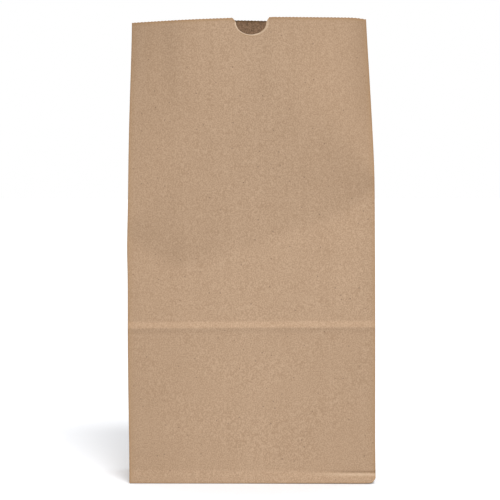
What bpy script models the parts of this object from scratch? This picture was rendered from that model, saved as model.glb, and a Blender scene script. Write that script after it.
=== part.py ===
"""Brown paper lunch bag, opened and standing: one sheet of kraft paper, folded and glued.

The sheet starts as an open box. Its faces are cut where the paper folds or bends, and each corner
point then moves to where it lies on the opened bag. Solidify gives the paper its thickness.
Metres, +Z up, the front with the thumb notch towards -Y.
"""
import math

import bmesh
import bpy
from mathutils import Vector

# The sheet and the three sizes of the squared bag
PAPER = 0.00012             # thickness of the kraft paper
WIDTH = 0.150               # across the front and the back
DEPTH = 0.092               # across the side gussets
HEIGHT = 0.2832             # from the base to the cut edge, at the middle of the front

# How far the bag is opened
MOUTH_TUCK = 0.038          # the gusset's centre crease stands in this far at the mouth
APEX_TUCK = 0.002           # and this far at its lower end, where the diagonal folds meet
STRAIGHT_SHARE = 0.35       # part of the crease's way in that is a straight slope
LEAN = math.radians(0.74)   # tilt of the mouth towards the left
LEAN_START = 0.130          # height at which the bag starts to lean

# Creases from when the bag lay flat, the front's soft slanting dent and the flared foot
CREASE_HEIGHT = 0.0950      # height of the pressed crease across the front and the back
CREASE_RISE = 0.0006        # how far it stands out
CREASE_REACH = 0.0045       # above and below it, the paper is flat again
BACK_FOLD_DEPTH = 0.0012    # the back was folded up at the apex's height, and keeps a hollow there
BACK_FOLD_REACH = 0.0180
DENT_DEPTH = 0.0017
DENT_HEIGHT = 0.151         # height of the dent's lowest line at the middle of the front
DENT_SLANT = 0.024          # this much higher at the right edge
DENT_REACH = 0.034
FOOT_HEIGHT = 0.0080        # the strip along the bottom that turns outwards
FOOT_FLARE = 0.0008
CORNER_FLARE = 0.0012       # the strip stands out this much more at the front's right end
CORNER_LIFT = 0.0010        # that end's bottom is off the ground by this much
CORNER_REACH = 0.055

# The thumb notch in the front's cut edge
NOTCH_OFFSET = 0.0010       # of its middle, to the right
NOTCH_WIDTH = 0.0187
NOTCH_DEPTH = 0.0102
LIP_WIDTH = 0.0016          # each lip opens this much wider at the cut edge
LIP_DEPTH = 0.0025

# The saw-cut edge, the glued lap on the back and the flaps glued under the base
TOOTH_PITCH = 0.0022
TOOTH_DEPTH = 0.00025
LAP_WIDTH = 0.012
LAP_OFFSET = 0.013          # of the lap's middle from the middle of the back
LAP_FADE = 0.020            # the raised sheet is flat again at this distance
FLAP_OVERLAP = 0.016
EDGE_RAMP = 0.0003          # width of the step at a sheet's edge
BASE_RIM = 0.0010           # strip inside the base's folds, before its layers lie on each other

# Spacing of the cuts that let the paper bend
COLUMN_STEP = 0.0110
ROW_STEP = 0.0145
GUSSET_STEP = 0.0154
NOTCH_STEPS = 18
LIP_STEPS = 3

HALF_WIDTH = WIDTH / 2
HALF_DEPTH = DEPTH / 2
APEX = HALF_DEPTH           # the diagonal folds rise at 45 degrees from the bottom corners
BASE_LAYERS = 3             # the end fold, the front flap and the back flap
SNAP = 0.00002              # a point this close to a cut lies on it
LENGTH_STEPS = 24

KRAFT_BROWN = (0.497, 0.337, 0.218, 1.0)
KRAFT_ROUGHNESS = 0.85


def clear_scene():
    for thing in list(bpy.data.objects):
        bpy.data.objects.remove(thing, do_unlink=True)


def collection_named(name):
    group = bpy.data.collections.new(name)
    bpy.context.scene.collection.children.link(group)
    return group


def move_to(thing, group):
    for owner in list(thing.users_collection):
        owner.objects.unlink(thing)
    group.objects.link(thing)


def kraft_paper():
    material = bpy.data.materials.new("kraft_paper")
    material.use_nodes = True
    shader = material.node_tree.nodes["Principled BSDF"]
    shader.inputs["Base Color"].default_value = KRAFT_BROWN
    shader.inputs["Roughness"].default_value = KRAFT_ROUGHNESS
    shader.inputs["Metallic"].default_value = 0.0
    return material


def spaced(marks, step):
    """The marks, with even cuts between them that are at most one step apart."""
    places = []
    for low, high in zip(marks, marks[1:]):
        count = max(1, math.ceil((high - low) / step))
        places += [low + (high - low) * index / count for index in range(count)]
    return places + [marks[-1]]


def ease(share):
    """From 0 to 1, starting and ending gently."""
    share = min(max(share, 0.0), 1.0)
    return share * share * (3 - 2 * share)


# Where the paper lies on the opened bag

def tuck(height):
    """How far the gusset's centre crease stands in."""
    if height <= APEX:
        return APEX_TUCK * height / APEX
    share = (height - APEX) / (HEIGHT - APEX)
    way = STRAIGHT_SHARE * share + (1 - STRAIGHT_SHARE) * ease(share)
    return APEX_TUCK + (MOUTH_TUCK - APEX_TUCK) * way


def reach(height):
    """Half the distance between the front and back corner folds: half a gusset keeps its width."""
    return math.sqrt(HALF_DEPTH ** 2 - tuck(height) ** 2)


def bow(height):
    """The front and the back bow out, so that their middles stay where they were."""
    return HALF_DEPTH - reach(height)


def half_chord(height):
    """Half the width between two corner folds, less what the bow of the panel takes."""
    return HALF_WIDTH - 4 / 3 * bow(height) ** 2 / WIDTH


def drop(height, inwards):
    """A fold that slopes inwards keeps its length, so its upper end comes down."""
    step = (height - APEX) / LENGTH_STEPS
    if step <= 0:
        return 0.0
    ways = [inwards(APEX + step * index) for index in range(LENGTH_STEPS + 1)]
    return sum((high - low) ** 2 for low, high in zip(ways, ways[1:])) / (2 * step)


def crease_rise(height):
    return CREASE_RISE * max(0.0, 1 - abs(height - CREASE_HEIGHT) / CREASE_REACH)


def back_fold(height):
    return BACK_FOLD_DEPTH * max(0.0, 1 - abs(height - APEX) / BACK_FOLD_REACH)


def dent(across, height):
    """Depth of the slanting dent in the front, which fades out towards both side folds."""
    from_line = (height - DENT_HEIGHT - DENT_SLANT * across) / DENT_REACH
    return DENT_DEPTH * math.exp(-from_line ** 2) * (1 - across ** 4)


def corner_share(x, y):
    """1 at the front's right bottom corner, down to 0 at a distance of CORNER_REACH."""
    return ease(1 - math.hypot(x - HALF_WIDTH, y + HALF_DEPTH) / CORNER_REACH)


def foot_share(height):
    return max(0.0, 1 - height / FOOT_HEIGHT)


def lap_rise(x):
    """The outer sheet of the glued lap lies on the inner one, and settles back beside it."""
    inner_edge = LAP_OFFSET - LAP_WIDTH / 2
    outer_edge = LAP_OFFSET + LAP_WIDTH / 2
    if x > outer_edge + EDGE_RAMP / 2:
        return 0.0
    return PAPER * ease(1 - (inner_edge - x) / LAP_FADE)


def panel_point(x, y, z):
    """A point of the front or the back."""
    side = math.copysign(1.0, y)
    across = x / HALF_WIDTH
    out = reach(z) + bow(z) * (1 - across ** 2) + crease_rise(z)
    fall = drop(z, bow) * across ** 2
    if side < 0:
        out += foot_share(z) * (FOOT_FLARE + CORNER_FLARE * corner_share(x, y)) - dent(across, z)
    else:
        out += foot_share(z) * FOOT_FLARE + lap_rise(x) - back_fold(z)
    return Vector((across * half_chord(z), side * out, z - fall))


def gusset_point(x, y, z):
    """A point of a side gusset, with its diagonal folds below the apex."""
    from_crease = abs(y) / HALF_DEPTH
    if z < APEX:
        inwards = APEX_TUCK * min(z / APEX, 1 - from_crease)
    else:
        inwards = tuck(z) * (1 - from_crease)
    fall = drop(z, bow) * from_crease + drop(z, tuck) * (1 - from_crease)
    out = (half_chord(z) - inwards) * math.copysign(1.0, x)
    return Vector((out, reach(z) * y / HALF_DEPTH, z - fall))


def base_layers(x, y):
    """How many sheets lie on each other at a point of the base."""
    from_end = HALF_WIDTH - abs(x) + SNAP
    overlap = FLAP_OVERLAP / 2 + SNAP
    front = from_end >= HALF_DEPTH + y and y <= overlap
    back = from_end >= HALF_DEPTH - y and y >= -overlap
    return 1 + front + back


def base_point(x, y):
    """A point of the base's underside: the flaps stand down below the end folds."""
    layers = base_layers(x, y)
    if abs(y) > HALF_DEPTH - SNAP:
        layers = 2
    return Vector((x, y, (BASE_LAYERS - layers) * PAPER))


def opened(point):
    """Where a point of the squared box lies on the opened, leaning bag."""
    x, y, z = point
    on_panel = abs(y) > HALF_DEPTH - SNAP
    on_base = z < SNAP
    if on_panel:
        place = panel_point(x, y, z)
    elif on_base:
        place = base_point(x, y)
    else:
        place = gusset_point(x, y, z)
    if on_base:
        place.z = base_point(x, y).z
    place.z += CORNER_LIFT * corner_share(x, y) * foot_share(z)
    rise = max(0.0, place.z - LEAN_START)
    tilt = LEAN * rise / (HEIGHT - LEAN_START)
    place.z += place.x * tilt
    place.x -= tilt * rise / 2
    return place


# The squared box and its cuts

def cut(sheet, place, direction, where):
    """Cut the faces whose middles pass the test, along the plane through a place."""
    faces = [face for face in sheet.faces if where(face.calc_center_median())]
    edges = {edge for face in faces for edge in face.edges}
    points = {point for face in faces for point in face.verts}
    parts = faces + list(edges) + list(points)
    bmesh.ops.bisect_plane(sheet, geom=parts, dist=SNAP, plane_co=place, plane_no=direction)


def on_front_or_back(middle):
    return abs(middle.y) > HALF_DEPTH - SNAP


def on_back(middle):
    return middle.y > HALF_DEPTH - SNAP


def on_base(middle):
    return middle.z < SNAP


def on_walls(middle):
    return not on_base(middle)


def on_side(middle):
    return abs(middle.x) > HALF_WIDTH - SNAP


def cut_walls(sheet):
    crease_marks = [CREASE_HEIGHT - CREASE_REACH, CREASE_HEIGHT, CREASE_HEIGHT + CREASE_REACH]
    marks = sorted([0.0, FOOT_HEIGHT, APEX, HEIGHT] + crease_marks)
    for z in spaced(marks, ROW_STEP)[1:-1]:
        cut(sheet, (0, 0, z), (0, 0, 1), on_walls)
    for x in spaced([-HALF_WIDTH, 0.0, HALF_WIDTH], COLUMN_STEP)[1:-1]:
        cut(sheet, (x, 0, 0), (1, 0, 0), lambda middle: not on_side(middle))
    for y in spaced([-HALF_DEPTH, 0.0, HALF_DEPTH], GUSSET_STEP)[1:-1]:
        cut(sheet, (0, y, 0), (0, 1, 0), lambda middle: not on_front_or_back(middle))


def cut_gusset_diagonals(sheet):
    for side in (-1, 1):
        def half_below_apex(middle):
            return on_side(middle) and middle.y * side > 0 and middle.z < APEX
        cut(sheet, (0, side * HALF_DEPTH, 0), (0, side, 1), half_below_apex)


def cut_lap(sheet):
    for edge in (-LAP_WIDTH / 2 - EDGE_RAMP, -LAP_WIDTH / 2, LAP_WIDTH / 2, LAP_WIDTH / 2 + EDGE_RAMP):
        cut(sheet, (LAP_OFFSET + edge, 0, 0), (1, 0, 0), on_back)


def cut_base(sheet):
    """The strip inside the folds, the flaps' slanting sides and their cut edges."""
    for side in (-1, 1):
        cut(sheet, (side * (HALF_WIDTH - BASE_RIM), 0, 0), (1, 0, 0), on_base)
        cut(sheet, (0, side * (HALF_DEPTH - BASE_RIM), 0), (0, 1, 0), on_base)
    for end in (-1, 1):
        for side in (-1, 1):
            def beside_flap(middle):
                return on_base(middle) and middle.x * end > 0 and middle.y * side > -FLAP_OVERLAP / 2
            for ramp in (0.0, EDGE_RAMP):
                corner = (end * (HALF_WIDTH + ramp), side * HALF_DEPTH, 0)
                cut(sheet, corner, (end, -side, 0), beside_flap)
    for side in (-1, 1):
        for ramp in (0.0, EDGE_RAMP):
            edge = (0, side * (FLAP_OVERLAP / 2 + ramp), 0)
            cut(sheet, edge, (0, 1, 0), on_base)


def cut_teeth(sheet):
    """The cut edge runs up and down in small teeth."""
    rim = [edge for edge in sheet.edges if edge.is_boundary]
    for edge in rim:
        start = edge.verts[0].co.copy()
        teeth = max(1, round(edge.calc_length() / TOOTH_PITCH))
        half_tooth = edge.calc_length() / (2 * teeth)
        made = bmesh.ops.subdivide_edges(sheet, edges=[edge], cuts=2 * teeth - 1)
        for point in made["geom_inner"]:
            if isinstance(point, bmesh.types.BMVert):
                index = round((point.co - start).length / half_tooth)
                point.co.z -= TOOTH_DEPTH * (index % 2)


def layers_at(point):
    """How many sheets thick the paper is at a point of the squared box."""
    x, y, z = point
    if z < SNAP and abs(x) < HALF_WIDTH - SNAP and abs(y) < HALF_DEPTH - SNAP:
        return base_layers(x, y)
    if y > HALF_DEPTH - SNAP and abs(x - LAP_OFFSET) <= LAP_WIDTH / 2 + SNAP:
        return 2
    return 1


def make_bag(group, material):
    bpy.ops.mesh.primitive_cube_add(size=1.0, location=(0, 0, HEIGHT / 2))
    bag = bpy.context.object
    bag.name = "paper_bag"
    bag.scale = (WIDTH, DEPTH, HEIGHT)
    bpy.ops.object.transform_apply(location=True, rotation=False, scale=True)
    move_to(bag, group)
    bag.data.materials.append(material)

    sheet = bmesh.new()
    sheet.from_mesh(bag.data)
    top = [face for face in sheet.faces if face.normal.z > 0.5]
    bmesh.ops.delete(sheet, geom=top, context="FACES_ONLY")
    cut_walls(sheet)
    cut_gusset_diagonals(sheet)
    cut_lap(sheet)
    cut_base(sheet)
    cut_teeth(sheet)
    sheet.verts.ensure_lookup_table()
    layers = [layers_at(point.co) for point in sheet.verts]
    for point in sheet.verts:
        point.co = opened(point.co)
    corners = [point.co for point in sheet.verts]
    middle = Vector((
        (min(corner.x for corner in corners) + max(corner.x for corner in corners)) / 2,
        (min(corner.y for corner in corners) + max(corner.y for corner in corners)) / 2,
        min(corner.z for corner in corners),
    ))
    bmesh.ops.translate(sheet, verts=sheet.verts, vec=-middle)
    sheet.to_mesh(bag.data)
    sheet.free()

    thickness = bag.vertex_groups.new(name="layers")
    for index, count in enumerate(layers):
        thickness.add([index], count / BASE_LAYERS, "REPLACE")
    wall = bag.modifiers.new("paper", "SOLIDIFY")
    wall.thickness = PAPER * BASE_LAYERS
    wall.offset = -1.0
    wall.use_even_offset = True
    wall.vertex_group = thickness.name
    return bag, middle


def notch_outline():
    """The notch from its left lip round to its right lip, with the cut edge at height 0."""
    half = NOTCH_WIDTH / 2
    left = [(-half - LIP_WIDTH, NOTCH_DEPTH)]
    for index in range(LIP_STEPS + 1):
        turn = math.pi / 2 * (1 - index / LIP_STEPS)
        left.append((-half - LIP_WIDTH * (1 - math.cos(turn)), -LIP_DEPTH * (1 - math.sin(turn))))
    bowl = []
    for index in range(1, NOTCH_STEPS):
        turn = math.pi * index / NOTCH_STEPS
        bowl.append((-half * math.cos(turn), -LIP_DEPTH - (NOTCH_DEPTH - LIP_DEPTH) * math.sin(turn)))
    right = [(-x, z) for x, z in reversed(left)]
    return left + bowl + right


def make_notch_cutter(group, middle):
    """A prism through the front only, at the place that the notch has on the opened bag."""
    outline = bpy.data.curves.new("notch_outline", "CURVE")
    outline.dimensions = "2D"
    outline.fill_mode = "BOTH"
    outline.extrude = HALF_DEPTH / 4
    spline = outline.splines.new("POLY")
    points = notch_outline()
    spline.points.add(len(points) - 1)
    for point, (x, z) in zip(spline.points, points):
        point.co = (x, z, 0, 1)
    spline.use_cyclic_u = True
    guide = bpy.data.objects.new("notch_outline", outline)
    group.objects.link(guide)
    guide.location = opened(Vector((NOTCH_OFFSET, -HALF_DEPTH, HEIGHT))) - middle
    guide.rotation_euler = (math.pi / 2, 0, 0)
    bpy.context.view_layer.update()

    evaluated = guide.evaluated_get(bpy.context.evaluated_depsgraph_get())
    solid = bpy.data.meshes.new_from_object(evaluated)
    cutter = bpy.data.objects.new("notch_cutter", solid)
    cutter.matrix_world = guide.matrix_world
    group.objects.link(cutter)
    bpy.data.objects.remove(guide, do_unlink=True)
    mesh = bmesh.new()
    mesh.from_mesh(solid)
    bmesh.ops.remove_doubles(mesh, verts=mesh.verts, dist=SNAP)
    mesh.to_mesh(solid)
    mesh.free()
    cutter.hide_render = True
    cutter.display_type = "WIRE"
    return cutter


def main():
    clear_scene()
    parts = collection_named("paper_lunch_bag")
    cutters = collection_named("cutters")
    bag, middle = make_bag(parts, kraft_paper())
    notch = bag.modifiers.new("thumb_notch", "BOOLEAN")
    notch.operation = "DIFFERENCE"
    notch.solver = "EXACT"
    notch.object = make_notch_cutter(cutters, middle)


if __name__ == "__main__":
    main()
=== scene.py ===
"""Brown paper lunch bag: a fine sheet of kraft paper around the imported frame, on a white floor."""

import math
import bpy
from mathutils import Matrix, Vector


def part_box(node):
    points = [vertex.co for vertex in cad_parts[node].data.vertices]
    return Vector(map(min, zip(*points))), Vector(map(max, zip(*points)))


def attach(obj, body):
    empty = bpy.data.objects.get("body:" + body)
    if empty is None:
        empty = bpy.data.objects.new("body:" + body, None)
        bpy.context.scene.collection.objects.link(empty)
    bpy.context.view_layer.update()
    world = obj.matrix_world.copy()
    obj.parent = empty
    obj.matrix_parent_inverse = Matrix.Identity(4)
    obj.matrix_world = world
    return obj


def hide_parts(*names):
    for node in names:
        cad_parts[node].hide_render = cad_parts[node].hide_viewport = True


bl_info = {
    "name": "Brown Paper Lunch Bag",
    "version": (1, 0, 0),
    "blender": (4, 5, 0),
    "location": "View3D > Sidebar > Paper Bag",
    "description": "Adds an opened kraft paper lunch bag and the white floor it stands on",
    "category": "Add Mesh",
}

from functools import partialmethod

import bmesh
import bpy
import numpy as np
from bpy.props import FloatProperty, FloatVectorProperty, IntProperty, PointerProperty
from mathutils import Matrix, Vector, noise

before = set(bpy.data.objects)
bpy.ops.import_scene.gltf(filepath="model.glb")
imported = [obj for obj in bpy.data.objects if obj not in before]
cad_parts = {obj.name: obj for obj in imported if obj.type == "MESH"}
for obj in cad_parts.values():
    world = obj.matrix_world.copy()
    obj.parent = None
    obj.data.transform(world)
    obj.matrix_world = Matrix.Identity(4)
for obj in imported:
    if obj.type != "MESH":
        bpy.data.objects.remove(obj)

NODE = "paper_bag"
PAPER_BAG_LOW, PAPER_BAG_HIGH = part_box(NODE)
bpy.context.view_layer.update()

# Sizes that the frame's box holds beside the squared bag itself
FOOT_FLARE = 0.0008
CORNER_FLARE = 0.0012
PAPER = 0.00012
MOUTH_ABOVE = 0.0002        # the leaning mouth's highest point, above the middle of its edge

BOX = PAPER_BAG_HIGH - PAPER_BAG_LOW
WIDTH = BOX.x
DEPTH = BOX.y - 2 * FOOT_FLARE - CORNER_FLARE - PAPER
HEIGHT = BOX.z - MOUTH_ABOVE


def length(default, description):
    return FloatProperty(description=description, default=default, unit="LENGTH", precision=5)


def angle(degrees, description):
    return FloatProperty(description=description, default=math.radians(degrees), unit="ROTATION")


def number(default, description):
    return FloatProperty(description=description, default=default)


def share(default, description):
    return FloatProperty(description=description, default=default, min=0.0, soft_max=1.0)


def paint(default, description):
    return FloatVectorProperty(
        description=description, default=default, size=3, subtype="COLOR", min=0.0, max=1.0
    )


class PaperBagSizes(bpy.types.PropertyGroup):
    """Sizes of the opened bag"""

    width: length(WIDTH, "Across the front and the back")
    depth: length(DEPTH, "Across the side gussets")
    height: length(HEIGHT, "From the base to the cut edge at the middle of the front")
    paper: length(PAPER, "Thickness of the kraft paper")
    mouth_tuck: length(0.038, "How far the gusset's centre crease stands in at the mouth")
    apex_tuck: length(0.002, "How far it stands in where the diagonal folds meet")
    straight_share: share(0.35, "Part of the crease's way in that is a straight slope")
    lean: angle(1.02, "Tilt of the mouth to the left")
    flatness: share(0.38, "How flat the panels stay between their rounder ends")
    ridge_height: length(0.0008, "The soft upright ridge at the front's upper left")
    ridge_place: length(-0.043, "That ridge, from the middle of the front")
    ridge_crest: length(0.0009, "How far that ridge's narrow crest stands out")
    streak_height: length(0.0003, "The narrow upright fold to the left of it")
    streak_place: length(-0.061, "That fold, from the middle of the front")
    hollow_depth: length(0.0009, "The shallow hollow that the fold lies in")
    brow_height: length(0.0034, "How far the front stands out under the notch's right lip")
    brow_place: length(0.017, "The middle of that swelling, from the middle of the front")
    shoulder: length(0.0032, "How far the front leans back towards its upper right")
    shoulder_place: length(0.041, "The middle of that lean, from the middle of the front")
    edge_curl: length(0.0017, "How far the front's upper right edge curls back")
    wrinkle: length(0.0003, "Height of the short slanting wrinkle at the front's left")
    sag: length(0.0016, "How far in the middle of the front's pressed crease lies")
    left_drop: length(0.0004, "How much lower the mouth's left end hangs")
    right_drop: length(0.0009, "How much lower the mouth's right corner hangs")
    back_tilt: number(0.036, "How much the back's cut edge falls to the right at its middle")
    left_bulge: length(0.0006, "How far the left side stands out")
    left_knee: length(0.0005, "How much more it does at the height of the dent")
    right_bulge: length(0.0004, "How far the right side stands out above the dent")
    left_foot: length(0.0004, "How far in the left side's foot lies")
    right_foot: length(0.0003, "How far out the right side's foot lies")
    lean_start: length(0.130, "Height at which the bag starts to lean")
    sway: length(0.00047, "How much further to the left the mouth is")
    crease_height: length(0.0950, "Height of the pressed crease")
    crease_tilt: number(0.006, "How much the pressed crease climbs to the right")
    crease_rise: length(0.00040, "How far the pressed crease stands out")
    crease_step: length(0.00105, "How far in the paper above it lies")
    crease_below: length(0.0032, "How far below it the paper bends")
    crease_above: length(0.0036, "How far above it the paper bends")
    back_fold_depth: length(0.0012, "Hollow along the fold low on the back")
    back_fold_reach: length(0.0180, "Reach of that hollow")
    dent_depth: length(0.0049, "Depth of the front's soft slanting dent")
    dent_height: length(0.1455, "Height of the dent's deepest line at the middle of the front")
    dent_slant: length(0.023, "How much that line climbs from there over half the width")
    dent_lift: length(0.010, "How much more it climbs at the right edge")
    dent_turn: number(-0.55, "Where the line is lowest, in half widths from the middle")
    dent_climb: length(0.017, "How much the line climbs again from there to the left edge")
    dent_top: number(0.15, "Where the dent reaches highest, in half widths")
    dent_above: length(0.095, "How high it reaches there")
    dent_round: length(0.0025, "Roundness of the deepest line")
    back_dent: length(0.0030, "Depth of the back's soft slanting dent")
    back_dent_height: length(0.172, "Height of that dent at the middle")
    back_dent_slant: length(-0.034, "How much lower that dent is at the right edge")
    back_dent_reach: length(0.040, "Reach of that dent above and below")
    foot_height: length(0.0080, "Height of the strip that turns outwards at the bottom")
    foot_break: length(0.0038, "Height at which the strip turns more upright")
    foot_steepness: share(0.64, "Part of its flare that the strip still has there")
    foot_flare: length(FOOT_FLARE, "How far that strip stands out")
    corner_flare: length(CORNER_FLARE, "How much more at the front's right end")
    corner_lift: length(0.0002, "How far that end is off the ground")
    corner_reach: length(0.088, "How far along the bottom that end reaches")
    corner_drop: length(0.0018, "How much lower the strip is at that end")
    corner_groove: length(0.0008, "Depth of the short crease above that end")
    corner_round: length(0.0019, "How far its very corner is bent in")
    notch_offset: length(0.0014, "The notch's middle, to the right of the front's")
    notch_width: length(0.0193, "Width of the thumb notch under its lips")
    notch_depth: length(0.0105, "Depth of the thumb notch")
    lip_width: length(0.0021, "How much wider each lip opens at the cut edge")
    lip_depth: length(0.0031, "Depth of the lips")
    tooth_pitch: length(0.0022, "Length of one tooth of the saw-cut edge")
    tooth_depth: length(0.00025, "Depth of a tooth")
    lap_width: length(0.012, "Width of the glued lap on the back")
    lap_offset: length(0.013, "The lap's middle, from the middle of the back")
    lap_fade: length(0.020, "Distance at which the outer sheet lies flat again")
    flap_overlap: length(0.016, "Overlap of the two flaps under the base")
    fold_radius: length(0.00045, "Radius of the folds")
    cockle: length(0.00022, "Height of the paper's gentle unevenness")
    seed: IntProperty(description="Changes the unevenness", default=4, min=0)


class PaperBagLook(bpy.types.PropertyGroup):
    """Colours and grain of the kraft paper, with the shade and highlights painted into them"""

    paper: paint((0.497, 0.337, 0.218), "The kraft paper")
    contrast: share(0.045, "How far the paper's cloudy grain is lighter and darker")
    light_fibre: paint((0.66, 0.47, 0.32), "Pale fibres")
    dark_fibre: paint((0.36, 0.23, 0.138), "Dark fibres")
    fibres: share(0.16, "How strongly the fibres show")
    speck: paint((0.16, 0.10, 0.06), "Bark specks")
    dark_specks: share(0.68, "How strongly the bark specks show")
    light_specks: share(0.6, "How strongly the pale specks show")
    # Worn paper along the folds and edges; the same colour paints the shade along the bottom edge
    worn: paint((0.42, 0.25, 0.122), "The paper along its folds and saw-cut edge")
    # Painted shade: how much darker the paper is painted towards the corner folds
    handling: share(0.022, "How much darker the handled paper towards the folds is")
    # The notch's pale cut edge; the same colour paints the highlights on the notch's left and on the
    # foot's lip
    cut_edge_and_highlight: paint((0.80, 0.63, 0.46), "The thumb notch's pale edge")
    roughness: share(0.80, "Roughness of the paper")
    relief: share(0.35, "Strength of the fibre relief")
    # Painted shade: the sheet's inner side is darkened to this share of its colour, for the light that
    # does not reach inside the bag
    inside: share(0.47, "Lightness of the sheet's duller inner side")


class PaperBagStage(bpy.types.PropertyGroup):
    """The floor, the light and the camera"""

    floor: paint((0.835, 0.845, 0.87), "The floor")
    glow: share(0.22, "What the camera sees of the floor beside its lit surface")
    bounce: share(0.35, "Light that the floor gives back to the bag")
    key_strength: number(2.69, "Strength of the key light")
    key_angle: angle(16, "Breadth of the key light")
    key_turn: angle(9, "To the right of the camera")
    key_rise: angle(40, "Above the floor")
    sky: share(0.31, "Strength of the even light from the front")
    back_sky: share(1.15, "Strength of the even light from behind")
    camera_distance: length(2.2, "From the front of the bag")
    camera_height: length(0.236, "Above the floor")
    camera_side: length(-0.0019, "To the right of the bag's middle")
    camera_turn: angle(1.0, "To the right, round the bag")
    camera_pitch: angle(2.44, "Downwards")
    camera_lens: number(261.35, "Focal length in mm")


# The form of the opened sheet

SNAP = 0.00001
LEVELS = 240
EDGE_REACH = 0.0154         # what bends a corner fold is gone this far into the gusset

# The front's swellings: how far each reaches to both sides, and places as x or as x and z
CREST_REACH = 0.013
STREAK_REACH = 0.006
HOLLOW_PLACE = -0.056
HOLLOW_REACH = 0.010
BROW_REACH = 0.015
SHOULDER_REACH = 0.019
CURL_REACH = 0.024
WRINKLE_PLACE = (-0.058, 0.190)
WRINKLE_WAY = (0.44, 0.90)  # to the right and up
WRINKLE_LENGTH = 0.013
WRINKLE_BREADTH = 0.0042

# The sides, the droops of the cut edge and the bent corner
KNEE_HEIGHT = 0.145
KNEE_REACH = 0.018
RIGHT_BULGE_HEIGHT = 0.187
RIGHT_BULGE_REACH = 0.028
DROOP_START = 0.200         # the cut edge's droops start at this height
DROOP_WAY = 0.080           # and are full this much higher
DROOP_SHARE = 0.14          # the mouth's right corner droops over this share of half the width
BEND_REACH = 2.5            # the bent corner's reach along the front, in its own depths
BEND_TAPER = 0.12           # distances along the gusset count this much
BEND_HEIGHT = 1.7           # how high the bend goes, in its own depths
BEND_LIFT = 0.3             # how much it lifts the corner, in its own depths


def ease(amount):
    """From 0 to 1, starting and ending gently."""
    amount = np.clip(amount, 0.0, 1.0)
    return amount * amount * (3 - 2 * amount)


def bump(distance, reach):
    """1 at no distance, falling smoothly to 0 past about twice the reach."""
    return np.exp(-(distance / reach) ** 2)


def peak(distance, reach):
    """1 at no distance, falling evenly to 0 at the reach."""
    return np.clip(1 - np.abs(distance) / reach, 0, 1)


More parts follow.
